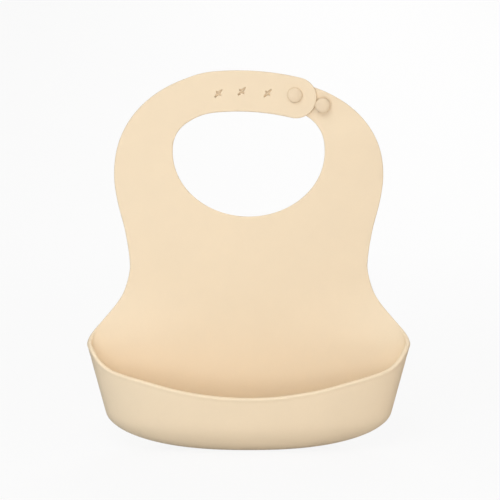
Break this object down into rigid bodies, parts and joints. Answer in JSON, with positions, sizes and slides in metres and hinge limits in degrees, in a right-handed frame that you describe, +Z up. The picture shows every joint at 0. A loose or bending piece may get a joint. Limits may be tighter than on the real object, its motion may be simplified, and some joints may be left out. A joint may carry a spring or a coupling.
{
  "type": "silicone bib",
  "caption": "Soft silicone baby bib: flat panel, neck band closed by a stud through a star hole, deep open crumb pocket.",
  "frame": {"origin": "centre of the neck opening, in the middle of the panel's thickness", "axes": "+Z up, towards the neck band's fastening; -Y towards the front, where the pocket stands out; +X towards the studded strap"},
  "size_m": [0.2406, 0.0569, 0.2786],
  "materials": {
    "silicone": "matte"
  },
  "bodies": {
    "panel": {"chest_panel": "silicone", "yoke_hole_side": "silicone", "yoke_stud_side": "silicone"},
    "pocket": {"waist_band": "silicone", "pocket_back": "silicone", "pocket_side_left": "silicone", "pocket_side_right": "silicone", "pocket_cheek_left": "silicone", "pocket_cheek_right": "silicone", "pocket_base": "silicone", "pocket_floor": "silicone", "rim_left": "silicone", "rim_right": "silicone"},
    "front_wall": {"pocket_front": "silicone", "rim_front": "silicone"},
    "hole_strap": {"hole_strap_base": "silicone"},
    "hole_strap_tip": {"hole_strap_end": "silicone"},
    "stud_strap": {"stud_strap": "silicone", "fastened_stud": "silicone", "free_stud": "silicone"}
  },
  "joints": [
    {"name": "waist_bend", "type": "hinge", "parent": "panel", "child": "pocket", "pos_m": [0, -0.0011, -0.08], "axis": [-1, 0, 0], "range_deg": [0, 60], "stiffness_Nm_per_rad": 0.35},
    {"name": "pocket_opening", "type": "hinge", "parent": "pocket", "child": "front_wall", "pos_m": [0, -0.0472, -0.203], "axis": [1, 0, 0], "range_deg": [-20, 12], "stiffness_Nm_per_rad": 0.12},
    {"name": "hole_strap_lift", "type": "hinge", "parent": "panel", "child": "hole_strap", "pos_m": [-0.0763, -0.0011, 0.0085], "axis": [0.9848, 0, -0.1736], "range_deg": [0, 40], "stiffness_Nm_per_rad": 0.06},
    {"name": "hole_strap_peel", "type": "hinge", "parent": "hole_strap", "child": "hole_strap_tip", "pos_m": [-0.033, -0.0011, 0.0452], "axis": [0.1357, 0, -0.9907], "range_deg": [0, 60], "stiffness_Nm_per_rad": 0.03, "deforming": ["fastened_stud"]},
    {"name": "stud_strap_bend", "type": "hinge", "parent": "panel", "child": "stud_strap", "pos_m": [0.0763, 0.0011, 0.0085], "axis": [-0.9848, 0, -0.1736], "range_deg": [0, 40], "stiffness_Nm_per_rad": 0.06}
  ]
}
